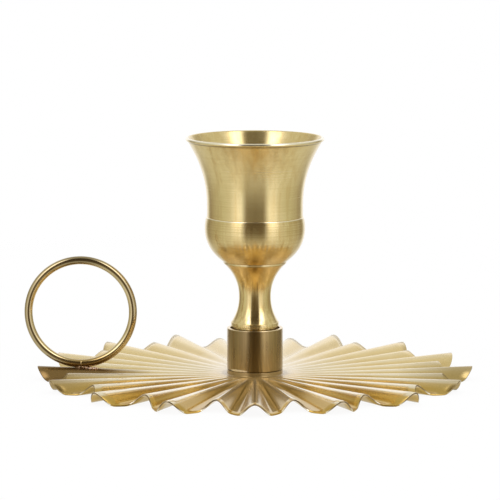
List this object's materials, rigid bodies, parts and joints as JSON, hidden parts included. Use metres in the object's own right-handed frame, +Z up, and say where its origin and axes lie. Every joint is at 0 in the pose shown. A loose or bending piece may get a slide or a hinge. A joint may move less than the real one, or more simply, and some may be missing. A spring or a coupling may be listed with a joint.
{
  "type": "candle holder",
  "caption": "Chamber candle holder with a flared cup on a turned stem, a pleated drip plate and an upright finger ring.",
  "frame": {"origin": "middle of the base, on the axis of the stem and cup, in the plane that the plate's valleys rest on", "axes": "+Z up along the axis of the stem and cup, the finger ring towards -X in the XZ plane"},
  "size_m": [0.1235, 0.12, 0.0672],
  "materials": {
    "plate_brass": "brass-plated iron sheet, satin",
    "collar_brass": "brass-plated iron, satin",
    "cup_brass": "brass-plated iron, fine turned satin",
    "wire_brass": "brass-plated iron wire, polished",
    "braze": "as cast beads",
    "screw_steel": "zinc-plated"
  },
  "bodies": {
    "base": {"pleated_plate": "plate_brass", "collar": "collar_brass", "plate_screw": "screw_steel", "plate_washer": "screw_steel", "ring_handle": "wire_brass", "handle_braze": "braze"},
    "cup": {"stem": "cup_brass", "cup_bowl": "cup_brass", "flared_cup": "cup_brass", "cup_screw": "screw_steel", "cup_washer": "screw_steel"}
  },
  "joints": [
    {"name": "cup_lift", "type": "slide", "parent": "base", "child": "cup", "axis": [0, 0, 1], "range_m": [0, 0.008]}
  ]
}
